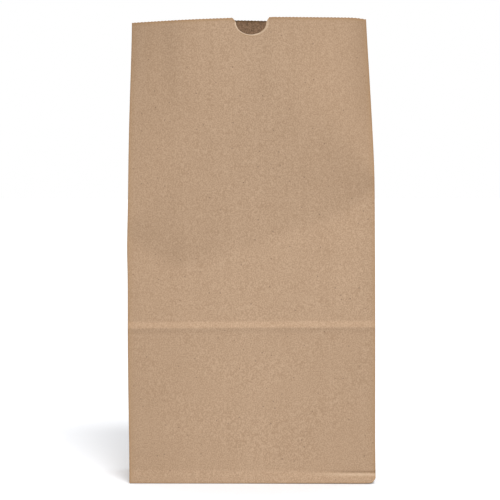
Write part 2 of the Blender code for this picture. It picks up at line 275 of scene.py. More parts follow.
class OpenedSheet:
    """Where the points of the squared bag lie once it is opened. Arrays of metres go in and come out."""

    def __init__(self, sizes):
        self.size = sizes
        self.half_width = sizes.width / 2
        self.half_depth = sizes.depth / 2
        self.apex = self.half_depth
        self.corners = np.cumsum([0.0, sizes.width, sizes.depth, sizes.width, sizes.depth])
        self.girth = self.corners[-1]
        self.levels = np.linspace(self.apex, sizes.height, LEVELS)
        self.panel_fall = self.fall(self.bow(self.levels))
        self.crease_fall = self.fall(self.tuck(self.levels))
        self.centring = (sizes.corner_flare - sizes.paper) / 2

    def fall(self, ways):
        """A fold that slopes inwards keeps its length, so what is above comes down."""
        step = self.levels[1] - self.levels[0]
        return np.concatenate([[0.0], np.cumsum(np.diff(ways) ** 2) / (2 * step)])

    def tuck(self, z):
        """How far the gusset's centre crease stands in."""
        size = self.size
        way = (z - self.apex) / (size.height - self.apex)
        slope = size.straight_share * way + (1 - size.straight_share) * ease(way)
        above = size.apex_tuck + (size.mouth_tuck - size.apex_tuck) * slope
        return np.where(z < self.apex, size.apex_tuck * z / self.apex, above)

    def reach(self, z):
        return np.sqrt(self.half_depth ** 2 - self.tuck(z) ** 2)

    def bow(self, z):
        return self.half_depth - self.reach(z)

    def half_chord(self, z):
        return self.half_width - 4 / 3 * self.bow(z) ** 2 / self.size.width

    def corner_share(self, x, y):
        """1 at the front's right bottom corner, down to 0 along the bottom."""
        away = np.hypot(x - self.half_width, y + self.half_depth)
        return ease(1 - away / self.size.corner_reach)

    def bent_corner(self, x, y):
        """How far the same corner is bent in, and with it the start of the gusset's foot."""
        away = np.hypot(x - self.half_width, BEND_TAPER * (y + self.half_depth))
        return self.size.corner_round * peak(away, BEND_REACH * self.size.corner_round)

    def on_base(self, x, y, z):
        """A point of the base, or of a layer glued to it."""
        bent = self.bent_corner(x, y)
        lift = self.size.corner_lift * self.corner_share(x, y) + BEND_LIFT * bent
        return float(x - bent), float(y + self.centring), float(z + lift)

    def foot_share(self, z):
        """1 at the ground and 0 above the foot, steeper in its upper half."""
        size = self.size
        return np.interp(z, [0.0, size.foot_break, size.foot_height], [1.0, size.foot_steepness, 0.0])

    def dent(self, across, z):
        """Depth of the front's slanting dent: a facet that leans in, over a line like a soft fold.

        It is deeper towards the right, and shallow again at the very edges.
        """
        size = self.size
        left_of_turn = np.clip((size.dent_turn - across) / (1 + size.dent_turn), 0, 1)
        line = size.dent_height + size.dent_slant * np.maximum(across, size.dent_turn)
        line = line + size.dent_climb * left_of_turn ** 1.5
        line = line + size.dent_lift * np.clip((across - 0.6) / 0.4, 0, 1) ** 2
        middle = np.interp(across, [-1, size.dent_top, 1], [0, 1, 0])
        above = size.dent_above * (0.08 + 0.92 * np.sin(middle * math.pi / 2))
        below = line - size.crease_height - 0.002
        rounding = np.hypot(z - line, size.dent_round) - size.dent_round
        way = np.clip(1 - rounding / np.where(z > line, above, below), 0, 1)
        depth = size.dent_depth * (1 + 0.30 * across) * (1 - 0.70 * across ** 8)
        sag = size.sag * (1 - across ** 2) * np.clip(z / size.crease_height, 0, 1)
        return np.where(z > line, depth * way ** 1.3, sag + (depth - sag) * way ** 1.15)

    def crease(self, x, z):
        """The pressed crease stands out, and the paper above it lies a little further in."""
        size = self.size
        above = z - size.crease_height - size.crease_tilt * x
        places = [-size.crease_below, 0.0, size.crease_above, 14 * size.crease_above]
        return np.interp(above, places, [0.0, size.crease_rise, -size.crease_step, 0.0])

    def groove(self, x, y, z):
        """The short crease above the foot's right end."""
        size = self.size
        above = z - size.foot_height + size.corner_drop
        depth = np.interp(above, [-0.0010, 0.0, 0.0018], [0.0, size.corner_groove, 0.0])
        return depth * self.corner_share(x, y) ** 3

    def marks(self, x, y, z):
        """How far the creases, the foot and the dent bring the paper out or in."""
        size = self.size
        corner = self.corner_share(x, y)
        flare = size.foot_flare + size.corner_flare * corner
        foot = self.foot_share(z + size.corner_drop * corner ** 3) * flare
        front = foot - self.dent(x / self.half_width, z) - self.groove(x, y, z)
        hollow = size.back_fold_depth * peak(z - self.apex, size.back_fold_reach)
        from_dent = z - size.back_dent_height - size.back_dent_slant * x / self.half_width
        hollow = hollow + size.back_dent * bump(from_dent, size.back_dent_reach)
        back = self.foot_share(z) * size.foot_flare - hollow
        return self.crease(x, z) + np.where(y < 0, front, back)

    def ridge(self, x, y, z):
        """The front's upright swellings and hollows towards its mouth, and its curled right edge."""
        size = self.size
        away = x - size.ridge_place
        room = np.where(away < 0, self.half_width + size.ridge_place, self.half_width)
        curl = np.clip(1 - (self.half_width - x) / CURL_REACH, 0, 1) ** 1.5
        # How far out each stands, its form across, where it starts and how much higher it is full
        swellings = (
            (size.ridge_height, peak(away, room), 0.185, 0.06),
            (size.ridge_crest, peak(away, CREST_REACH), 0.215, 0.05),
            (size.streak_height, peak(x - size.streak_place, STREAK_REACH), 0.225, 0.04),
            (-size.hollow_depth, bump(x - HOLLOW_PLACE, HOLLOW_REACH), 0.225, 0.04),
            (2 * size.brow_height, bump(x - size.brow_place, BROW_REACH), 0.165, 0.22),
            (-size.shoulder, bump(x - size.shoulder_place, SHOULDER_REACH), 0.215, 0.07),
            (-size.edge_curl, curl, 0.180, 0.05),
        )
        rise = size.wrinkle * self.wrinkle(x, z)
        for height, form, start, way in swellings:
            rise = rise + height * form * ease((z - start) / way)
        return np.where(y < 0, rise, 0.0)

    def wrinkle(self, x, z):
        """1 on the short slanting wrinkle of the front and 0 past it."""
        right, up = x - WRINKLE_PLACE[0], z - WRINKLE_PLACE[1]
        slant, steep = WRINKLE_WAY
        along, over = steep * up + slant * right, steep * right - slant * up
        return bump(along, WRINKLE_LENGTH) * bump(over, WRINKLE_BREADTH)

    def panel(self, x, y, z):
        """A point of the front or the back."""
        size = self.size
        across = x / self.half_width
        round_off = across ** 2 + size.flatness * (across ** 4 - across ** 2)
        out = self.reach(z) + self.bow(z) * (1 - round_off) + self.marks(x, y, z) + self.ridge(x, y, z)
        fall = np.interp(z, self.levels, self.panel_fall) * across ** 2
        return across * self.half_chord(z), np.sign(y) * out, z - fall

    def side(self, x, z):
        """How far the left and the right side stand out more than a straight one."""
        size = self.size
        left = size.left_bulge * ease((z - 0.02) / 0.09) - size.left_foot * ease(1 - z / 0.06)
        left = left + size.left_knee * bump(z - KNEE_HEIGHT, KNEE_REACH)
        right = size.right_bulge * bump(z - RIGHT_BULGE_HEIGHT, RIGHT_BULGE_REACH)
        right = right + size.right_foot * ease(1 - z / 0.03)
        return right * ease(x / self.half_width) - left * ease(-x / self.half_width)

    def gusset(self, x, y, z):
        """A point of a side gusset, with its diagonal folds below the apex."""
        from_crease = np.abs(y) / self.half_depth
        low = self.size.apex_tuck * np.minimum(z / self.apex, 1 - from_crease)
        inwards = np.where(z < self.apex, low, self.tuck(z) * (1 - from_crease))
        fall = np.interp(z, self.levels, self.panel_fall) * from_crease
        fall = fall + np.interp(z, self.levels, self.crease_fall) * (1 - from_crease)
        edge = np.sign(y) * self.half_depth
        near_edge = np.clip(1 - (self.half_depth - np.abs(y)) / EDGE_REACH, 0, 1)
        out = self.reach(z) * from_crease + (self.marks(x, edge, z) + self.ridge(x, edge, z)) * near_edge
        return np.sign(x) * (self.half_chord(z) - inwards), np.sign(y) * out, z - fall

    def opened(self, x, y, z):
        on_panel = np.abs(y) > self.half_depth - SNAP
        panel = self.panel(x, y, z)
        gusset = self.gusset(x, y, z)
        px, py, pz = (np.where(on_panel, one, other) for one, other in zip(panel, gusset))
        px = px + self.side(px, z)
        size = self.size
        bent = self.bent_corner(x, y) * np.clip(1 - z / (BEND_HEIGHT * size.corner_round), 0, 1)
        px = px - bent
        pz = pz + size.corner_lift * self.corner_share(x, y) * self.foot_share(z) + BEND_LIFT * bent
        across = x / self.half_width
        drop = size.left_drop * ease(-across)
        drop = drop + size.right_drop * np.clip(1 - (1 - across) / DROOP_SHARE, 0, 1) ** 2 * (y < 0)
        drop = drop + size.back_tilt * x * (1 - across ** 2) * (y > 0)
        pz = pz - drop * ease((z - DROOP_START) / DROOP_WAY)
        rise = np.clip(pz - size.lean_start, 0, None)
        way = rise / (size.height - size.lean_start)
        tilt = size.lean * way
        pz = pz + px * tilt
        px = px - tilt * rise / 2 - size.sway * way
        return np.stack([px, py + self.centring, pz], axis=-1)

    def outline(self, around):
        """The squared bag's outline: x and y at a distance around it, from the front's left corner."""
        around = np.mod(around, self.girth)
        w, d = self.half_width, self.half_depth
        x = np.interp(around, self.corners, [-w, w, w, -w, -w])
        y = np.interp(around, self.corners, [-d, -d, d, d, -d])
        return x, y

    def soft(self, around, z):
        """The same with round folds: each point is the middle of those around it."""
        radius = self.size.fold_radius
        offsets = (-1.0, -0.5, 0.0, 0.5, 1.0)
        weights = (1, 2, 3, 2, 1)
        total = 0.0
        for side, side_weight in zip(offsets, weights):
            x, y = self.outline(around + side * radius)
            for up, up_weight in zip(offsets, weights):
                height = np.maximum(z + up * radius, 0.0)
                total = total + side_weight * up_weight * self.opened(x, y, height)
        return total / sum(weights) ** 2


# Where the columns and rows of the fine sheet lie

COLUMN_STEP = 0.0030
ROW_STEP = 0.0027
NOTCH_COLUMNS = 46
NOTCH_SPREAD = 1.45         # the columns that go round the notch come from this many times its width
FOLD_GAPS = (0.0, 0.00025, 0.0006, 0.0012)
CREASE_GAPS = (0.0, 0.0005, 0.0010, 0.0017, 0.0025, 0.0032, 0.0037, 0.0042, 0.0048)
FOOT_FOLD_GAPS = (0.0, 0.0004, 0.0008, 0.0012, 0.0017, 0.0023)
LAP_STEP = 0.00003
RIM_GAPS = (0.0, 0.0005, 0.0012, 0.0022, 0.0035)
FOOT_GAPS = (0.0, 0.0002, 0.0005, 0.0009, 0.0016, 0.0026, 0.0034, 0.0042)
BASE_ROUND = 0.0006         # room for the round of the bottom fold
BASE_RIM = 0.0010           # the glued layers start this far from the folds that they come from
LAYER_BEND = 0.0010         # over this length the outer flap bends down over the inner one
NOTCH_PULL = 0.034          # the rows this far under the cut edge start to follow the notch


def spaced(marks, step):
    """The marks, with even places between them that are at most a step apart."""
    marks = sorted(marks)
    places = []
    for low, high in zip(marks, marks[1:]):
        count = max(1, math.ceil((high - low) / step - 1e-6))
        places += [low + (high - low) * index / count for index in range(count)]
    return np.array(places + [marks[-1]])


def both_sides(place, gaps):
    return [place + gap for gap in gaps] + [place - gap for gap in gaps[1:]]


def panel_columns(sheet):
    """x of the columns, the same on the front, the back and the base."""
    size = sheet.size
    half = sheet.half_width
    marks = [side * (half - gap) for gap in FOLD_GAPS for side in (-1, 1)]
    _, _, way, spread = notch_outline(size)
    lip = spread * (1 - 2 * way[1] / way[-1])
    for low, high, count in ((-spread, -lip, 4), (-lip, lip, NOTCH_COLUMNS), (lip, spread, 4)):
        marks += list(size.notch_offset + np.linspace(low, high, count)[:-1])
    marks.append(size.notch_offset + spread)
    lap_edge = size.lap_offset + size.lap_width / 2
    marks += both_sides(lap_edge, (0.0, LAP_STEP, 0.0003))
    return spaced(marks, COLUMN_STEP)


def gusset_columns(sheet):
    """y of the columns on the gussets and the base."""
    half = sheet.half_depth
    marks = [side * (half - gap) for gap in FOLD_GAPS for side in (-1, 1)]
    marks += both_sides(0.0, FOLD_GAPS)
    return spaced(marks, COLUMN_STEP)


def sheet_rows(sheet):
    size = sheet.size
    marks = list(FOOT_GAPS) + both_sides(size.foot_height, FOOT_FOLD_GAPS)
    marks += both_sides(sheet.apex, CREASE_GAPS) + both_sides(size.crease_height, CREASE_GAPS)
    marks += [size.height - gap for gap in RIM_GAPS]
    return spaced(marks, ROW_STEP)


def notch_path(size):
    """The notch's outline from lip to lip: x from its middle, z from the cut edge."""
    half = size.notch_width / 2
    way = np.linspace(0, 1, 24)
    lip_x = -half - size.lip_width * (1 - way) ** 1.2
    lip_z = -size.lip_depth * way
    swing = np.linspace(0, math.pi, 160)[1:-1]
    bowl_x = -half * np.cos(swing)
    bowl_z = -size.lip_depth - (size.notch_depth - size.lip_depth) * np.sin(swing)
    x = np.concatenate([lip_x, bowl_x, -lip_x[::-1]])
    z = np.concatenate([lip_z, bowl_z, lip_z[::-1]])
    return x, z


def notch_outline(size):
    """The same with a straight stretch at each end, the way along it, and how far it spreads."""
    path_x, path_z = notch_path(size)
    spread = NOTCH_SPREAD * size.notch_width / 2
    path_x = np.concatenate([[-spread], path_x, [spread]])
    path_z = np.concatenate([[0.0], path_z, [0.0]])
    way = np.concatenate([[0.0], np.cumsum(np.hypot(np.diff(path_x), np.diff(path_z)))])
    return path_x, path_z, way, spread


def notch_pull(sheet, x):
    """How far the cut edge at x moves, across and down, to follow the notch."""
    size = sheet.size
    path_x, path_z, way, spread = notch_outline(size)
    from_middle = np.clip(x - size.notch_offset, -spread, spread)
    along = (from_middle / spread + 1) / 2 * way[-1]
    moved_x = np.interp(along, way, path_x)
    moved_z = np.interp(along, way, path_z)
    inside = np.abs(x - size.notch_offset) < spread
    return np.where(inside, moved_x - from_middle, 0.0), np.where(inside, moved_z, 0.0)


def on_front(sheet, around):
    return np.mod(around, sheet.girth) < sheet.size.width - SNAP


def tooth(sheet, around):
    """Depth of the saw cut under its teeth, 0 in the smooth notch."""
    size = sheet.size
    turn = np.mod(around / size.tooth_pitch, 1.0)
    depth = size.tooth_depth * (1 - np.abs(2 * turn - 1))
    from_notch = np.abs(around - sheet.half_width - size.notch_offset)
    in_notch = from_notch < size.notch_width / 2 + size.lip_width
    return np.where(in_notch & on_front(sheet, around), 0.0, depth)


# The fine sheet

COARSE_WAVES = 22           # waves to a metre
FINE_WAVES = 55
STRAIGHT_BY_FOLD = 0.010    # the paper is straight at a fold, and as uneven as it gets from this far
STRAIGHT_BY_FOOT = 0.015
WEAR_BY_FOLD = 0.0010       # reach of the wear to each side
WEAR_BY_RIM = 0.0013
# reach of the painted shade along the bottom edge
SHADE_BY_FOOT = 0.0008
WEAR_BY_CREASE = 0.0007
# reach of the painted shade towards the folds
SHADED_BY_FOLD = 0.075


def unevenness(sheet, around, z):
    """Height of the paper's gentle waves, small near the folds, which keep straight."""
    size = sheet.size
    heights = np.empty(around.shape)
    for index in np.ndindex(around.shape):
        x, y = sheet.outline(around[index])
        place = Vector((float(x), float(y), float(z[index]) * 0.7 + size.seed))
        heights[index] = noise.noise(place * COARSE_WAVES) + 0.5 * noise.noise(place * FINE_WAVES)
    return heights * size.cockle


def fold_distance(sheet, around):
    """Distance to the nearest corner fold or centre crease."""
    middles = [(sheet.corners[1] + sheet.corners[2]) / 2, (sheet.corners[3] + sheet.corners[4]) / 2]
    folds = np.concatenate([sheet.corners, middles])
    return np.min(np.abs(np.mod(around, sheet.girth)[..., None] - folds), axis=-1)


def outward(points):
    """Normals of a grid of points whose columns go round anticlockwise and whose rows go up."""
    along = np.roll(points, -1, axis=1) - np.roll(points, 1, axis=1)
    up = np.gradient(points, axis=0)
    normal = np.cross(along, up)
    return normal / np.linalg.norm(normal, axis=-1, keepdims=True)


def wall_points(sheet, around, rows):
    """The walls as a grid of points, its rows from the base to the cut edge."""
    size = sheet.size
    around, z = np.meshgrid(around, rows)
    x, y = sheet.outline(around)
    across, down = notch_pull(sheet, x)
    front = on_front(sheet, around)
    pull = np.where(front, np.clip(1 - (size.height - z) / NOTCH_PULL, 0, 1), 0.0)
    sheet_around = around + across * pull ** 2
    depth = np.where(front, -down, 0.0)
    full = NOTCH_PULL - depth
    from_start = np.clip(z - (size.height - NOTCH_PULL), 0, None)
    z = np.where(from_start > 0, size.height - NOTCH_PULL + from_start * full / NOTCH_PULL, z)
    points = sheet.soft(sheet_around, z)
    normals = outward(points)
    keep = ease(fold_distance(sheet, around) / STRAIGHT_BY_FOLD) * ease(z / STRAIGHT_BY_FOOT)
    lift = unevenness(sheet, sheet_around, z) * keep
    inner_edge = size.lap_offset - size.lap_width / 2
    outer_edge = size.lap_offset + size.lap_width / 2
    lap = size.paper * ease(1 - (inner_edge - x) / size.lap_fade)
    lift += np.where((y > sheet.half_depth - SNAP) & (x < outer_edge), lap, 0.0)
    radius = size.fold_radius
    lift -= radius - np.sqrt(radius ** 2 - np.clip(radius - z, 0, radius) ** 2)
    points += normals * lift[..., None]
    points[-1, :, 2] -= tooth(sheet, sheet_around[-1])
    return points


def fold_wear_and_shade(sheet, around, z, rim_gap):
    """How worn the paper is along its folds, its cut edges, the lap's edge and the crease low on the
    back, and how much painted shade it gets along the bottom edge where it meets the floor, most at the
    front's right corner.
    """
    near_fold = bump(fold_distance(sheet, around), WEAR_BY_FOLD)
    near_rim = bump(rim_gap, WEAR_BY_RIM)
    x, y = sheet.outline(around)
    corner = sheet.corner_share(x, y)
    bottom_edge_shade = (0.7 + 0.3 * corner) * bump(z, SHADE_BY_FOOT)
    near_crease = 0.5 * bump(z - sheet.apex, WEAR_BY_CREASE) * (y > 0.001)
    lap_edge = sheet.size.lap_offset + sheet.size.lap_width / 2
    near_lap = 0.8 * (np.abs(x - lap_edge) < 2 * LAP_STEP) * (y > sheet.half_depth - SNAP)
    return np.maximum.reduce([near_fold, near_rim, bottom_edge_shade, near_crease, near_lap])


def fold_shading(sheet, around, z):
    """How much painted shade the paper gets towards the folds: most at the front's upper right, least
    under that.
    """
    x, y = sheet.outline(around)
    upper_right_shade = 1.2 * np.clip(1 - (sheet.half_width - x) / 0.013, 0, 1) * ease((z - 0.19) / 0.05) * (y < 0)
    spared = (0.45 + 0.55 * ease((z - 0.09) / 0.02)) * ease((0.185 - z) / 0.02) * ease(x / 0.06)
    return ease(1 - fold_distance(sheet, around) / SHADED_BY_FOLD) * (1 - 0.85 * spared) + upper_right_shade


def make_sheet(sheet):
    """One open sheet: four walls, with their teeth and notch, and the base."""
    columns = panel_columns(sheet)
    sides = gusset_columns(sheet)
    rows = sheet_rows(sheet)
    half_width, half_depth = sheet.half_width, sheet.half_depth
    corners = sheet.corners
    around = np.concatenate([
        columns[:-1] + half_width,
        corners[1] + sides[:-1] + half_depth,
        corners[2] + half_width - columns[:0:-1],
        corners[3] + half_depth - sides[:0:-1],
    ])
    points = wall_points(sheet, around, rows)
    mesh = bmesh.new()
    # Per point: wear along the folds and edges with painted shade along the bottom edge, and painted
    # shade towards the folds
    wear = mesh.verts.layers.float.new("wear")
    handled = mesh.verts.layers.float.new("handled")
    grid = [[mesh.verts.new(place) for place in row] for row in points]
    rim_gap = sheet.size.height - rows
    amounts = fold_wear_and_shade(sheet, *np.meshgrid(around, rows), np.meshgrid(around, rim_gap)[1])
    handling = fold_shading(sheet, *np.meshgrid(around, rows))
    for line, values, broad in zip(grid, amounts, handling):
        for point, value, wide in zip(line, values, broad):
            point[wear] = value
            point[handled] = wide
    count = len(around)
    for low, high in zip(grid[:-1], grid[1:-1]):
        for index in range(count):
            after = (index + 1) % count
            mesh.faces.new((low[index], low[after], high[after], high[index]))
    low, high = grid[-2], grid[-1]
    for index in range(count):
        after = (index + 1) % count
        places = teeth_between(sheet, around, index, high[index], high[after])
        teeth = [mesh.verts.new(place) for place in places]
        for point in teeth:
            point[wear] = 1.0
            point[handled] = high[index][handled]
        mesh.faces.new((low[index], low[after], high[after], *reversed(teeth), high[index]))
    make_base(sheet, mesh, grid[0], columns, sides)
    return mesh


def teeth_between(sheet, around, index, here, there):
    """The saw cut's peaks and valleys between two points of the cut edge."""
    low = around[index]
    high = around[index + 1] if index + 1 < len(around) else sheet.girth
    half_pitch = sheet.size.tooth_pitch / 2
    first = math.ceil((low + 0.1 * half_pitch) / half_pitch)
    last = math.floor((high - 0.1 * half_pitch) / half_pitch)
    x = low - sheet.half_width - sheet.size.notch_offset
    if abs(x) < (NOTCH_SPREAD + 0.05) * sheet.size.notch_width / 2:
        return []
    start = here.co + Vector((0, 0, float(tooth(sheet, np.float64(low)))))
    end = there.co + Vector((0, 0, float(tooth(sheet, np.float64(high)))))
    places = []
    for number in range(first, last + 1):
        along = number * half_pitch
        depth = float(tooth(sheet, np.float64(along)))
        places.append(start.lerp(end, (along - low) / (high - low)) - Vector((0, 0, depth)))
    return places


def base_places(places, half):
    """The base starts inside the round of the bottom fold."""
    gaps = half - np.abs(places)
    return np.sign(places) * (half - gaps - BASE_ROUND * np.clip(1 - gaps / FOLD_GAPS[-1], 0, 1))


def make_base(sheet, mesh, ring, columns, sides):
    """The base is a grid whose outer points are the walls' lowest ones."""
    wide, deep = len(columns), len(sides)
    right, back, left = wide - 1, wide + deep - 2, 2 * wide + deep - 3

    def point_at(i, j):
        if j == 0:
            return ring[i]
        if i == wide - 1:
            return ring[right + j]
        if j == deep - 1:
            return ring[back + (wide - 1 - i)]
        if i == 0:
            return ring[(left + (deep - 1 - j)) % len(ring)]
        return mesh.verts.new(sheet.on_base(columns[i], sides[j], 2 * sheet.size.paper))

    columns, sides = base_places(columns, sheet.half_width), base_places(sides, sheet.half_depth)
    base = [[point_at(i, j) for i in range(wide)] for j in range(deep)]
    for near, far in zip(base, base[1:]):
        for i in range(wide - 1):
            mesh.faces.new((near[i], far[i], far[i + 1], near[i + 1]))


def add_layer(mesh, stations, size, inside, place):
    """A glued layer of the base, from its fold to its saw-cut edge.

    A station is its distance from the fold, half its breadth and the height of its lower side.
    """
    sides = mesh.verts.layers.float["inside"]
    reach, breadth, height = stations[-1]
    count = 4 * round(breadth / size.tooth_pitch)
    cut = [(2 * index / count - 1, (index % 2) * size.tooth_depth) for index in range(1, count)]
    faces = []
    outlines = []

    def add_point(along, across, z):
        point = mesh.verts.new(place(along, across, z))
        point[sides] = inside
        return point

    for lift in (0.0, size.paper):
        rows = []
        for along, half, z in stations:
            rows.append([add_point(along, side * half, z + lift) for side in (-1, 1)])
        teeth = [add_point(reach - depth, across * breadth, height + lift) for across, depth in cut]
        for near, far in zip(rows[:-2], rows[1:-1]):
            faces.append(mesh.faces.new((near[0], near[1], far[1], far[0])))
        near, far = rows[-2:]
        faces.append(mesh.faces.new((near[0], near[1], far[1], *reversed(teeth), far[0])))
        outlines.append([row[0] for row in rows] + teeth + [row[1] for row in reversed(rows)])
    low, high = outlines
    for index in range(len(low)):
        faces.append(mesh.faces.new((low[index - 1], low[index], high[index], high[index - 1])))
    bmesh.ops.recalc_face_normals(mesh, faces=faces)


def add_layers(sheet, data):
    """The two end folds on the floor inside, and the inner and the outer flap under it."""
    size = sheet.size
    mesh = bmesh.new()
    mesh.from_mesh(data)
    half_width, half_depth = sheet.half_width, sheet.half_depth
    cut = half_depth + size.flap_overlap / 2
    bend = half_depth - size.flap_overlap / 2

    def flap(places):
        return [(along, half_width - along - BASE_RIM, height) for along, height in places]

    def from_back(along, across, z):
        return sheet.on_base(across, half_depth - along, z)

    def from_front(along, across, z):
        return sheet.on_base(across, along - half_depth, z)

    def from_left(along, across, z):
        return sheet.on_base(along - half_width, across, z)

    def from_right(along, across, z):
        return sheet.on_base(half_width - along, across, z)

    inner = flap([(BASE_RIM, size.paper), (cut, size.paper)])
    outer = flap([(BASE_RIM, size.paper), (bend - LAYER_BEND, size.paper), (bend, 0.0), (cut, 0.0)])
    end_fold = [(along, half_depth - BASE_RIM, 3 * size.paper) for along in (BASE_RIM, cut)]
    add_layer(mesh, inner, size, 0.0, from_back)
    add_layer(mesh, outer, size, 0.0, from_front)
    add_layer(mesh, end_fold, size, 1.0, from_left)
    add_layer(mesh, end_fold, size, 1.0, from_right)
    mesh.to_mesh(data)
    mesh.free()


# Materials

class Value:
    """A socket of a material. Sums with it add Math nodes."""

    def __init__(self, maker, socket):
        self.maker = maker
        self.socket = socket

    def math(self, operation, *others):
        inputs = {0: self}
        inputs.update({place + 1: other for place, other in enumerate(others)})
        return self.maker.add("ShaderNodeMath", {"operation": operation}, inputs)

    def __rsub__(self, other):
        return self.maker.value(other).math("SUBTRACT", self)

    __add__ = __radd__ = partialmethod(math, "ADD")
    __sub__ = partialmethod(math, "SUBTRACT")
    __mul__ = __rmul__ = partialmethod(math, "MULTIPLY")
    __truediv__ = partialmethod(math, "DIVIDE")
    __abs__ = partialmethod(math, "ABSOLUTE")
    __gt__ = partialmethod(math, "GREATER_THAN")
    __lt__ = partialmethod(math, "LESS_THAN")
    __pow__ = partialmethod(math, "POWER")


class Maker:
    """Adds nodes to one material or world."""

    def __init__(self, owner):
        owner.use_nodes = True
        self.tree = owner.node_tree
        self.tree.nodes.clear()

    def add(self, kind, settings=None, inputs=None, output=0):
        node = self.tree.nodes.new(kind)
        for name, setting in (settings or {}).items():
            if name == "stops":
                self.set_stops(node.color_ramp, setting)
            else:
                setattr(node, name, setting)
        for place, given in (inputs or {}).items():
            if isinstance(given, Value):
                self.tree.links.new(given.socket, node.inputs[place])
            else:
                node.inputs[place].default_value = given
        return Value(self, node.outputs[output] if node.outputs else None)

    def set_stops(self, ramp, stops):
        """The stops are pairs of a place and a grey level."""
        while len(ramp.elements) < len(stops):
            ramp.elements.new(0.5)
        for element, (place, level) in zip(ramp.elements, stops):
            element.position = place
            element.color = (level, level, level, 1.0)

    def value(self, number):
        node = self.tree.nodes.new("ShaderNodeValue")
        node.outputs[0].default_value = number
        return Value(self, node.outputs[0])

    def ramp(self, amount, low, high):
        """0 under the low value, 1 over the high one, and smooth between."""
        settings = {"interpolation_type": "SMOOTHSTEP", "clamp": True}
        inputs = {"Value": amount, "From Min": low, "From Max": high}
        return self.add("ShaderNodeMapRange", settings, inputs)

    def blend(self, amount, one, other):
        """From one colour to the other."""
        settings = {"data_type": "RGBA", "clamp_factor": True}
        inputs = {0: amount, 6: self.full(one), 7: self.full(other)}
        return self.add("ShaderNodeMix", settings, inputs, output=2)

    def full(self, colour):
        return colour if isinstance(colour, Value) else (*colour, 1.0)

    def places(self, scale):
        """The object's own coordinates, stretched by a scale for each axis."""
        place = self.add("ShaderNodeTexCoord", output=3)
        return self.add("ShaderNodeVectorMath", {"operation": "MULTIPLY"}, {0: place, 1: scale})

    def attribute(self, name):
        """A value that the mesh holds for each of its points."""
        return self.add("ShaderNodeAttribute", {"attribute_name": name}, output=2)

    def grain(self, scale, detail=1.0):
        """Noise from about 0 to 1, by the number of its lumps to a metre along each axis."""
        inputs = {"Vector": self.places(scale), "Scale": 1.0, "Detail": detail}
        return self.add("ShaderNodeTexNoise", {"noise_dimensions": "3D"}, inputs)


# The paper's grain, in lumps to a metre along each axis
CLOUDS = (70, 70, 45)
STREAKS = (260, 260, 5)
MOTTLE = (560, 560, 460)
FINE = (1500, 1500, 1250)
UPRIGHT_FIBRES = (2600, 2600, 330)
LEVEL_FIBRES = (420, 420, 2600)
SPECKS = (212, 212, 212)


def shifted(colour, amount):
    """A colour moved up or down evenly as a screen shows it, which keeps its hue."""
    return tuple(max(part ** (1 / 2.2) + amount, 0.0) ** 2.2 for part in colour)


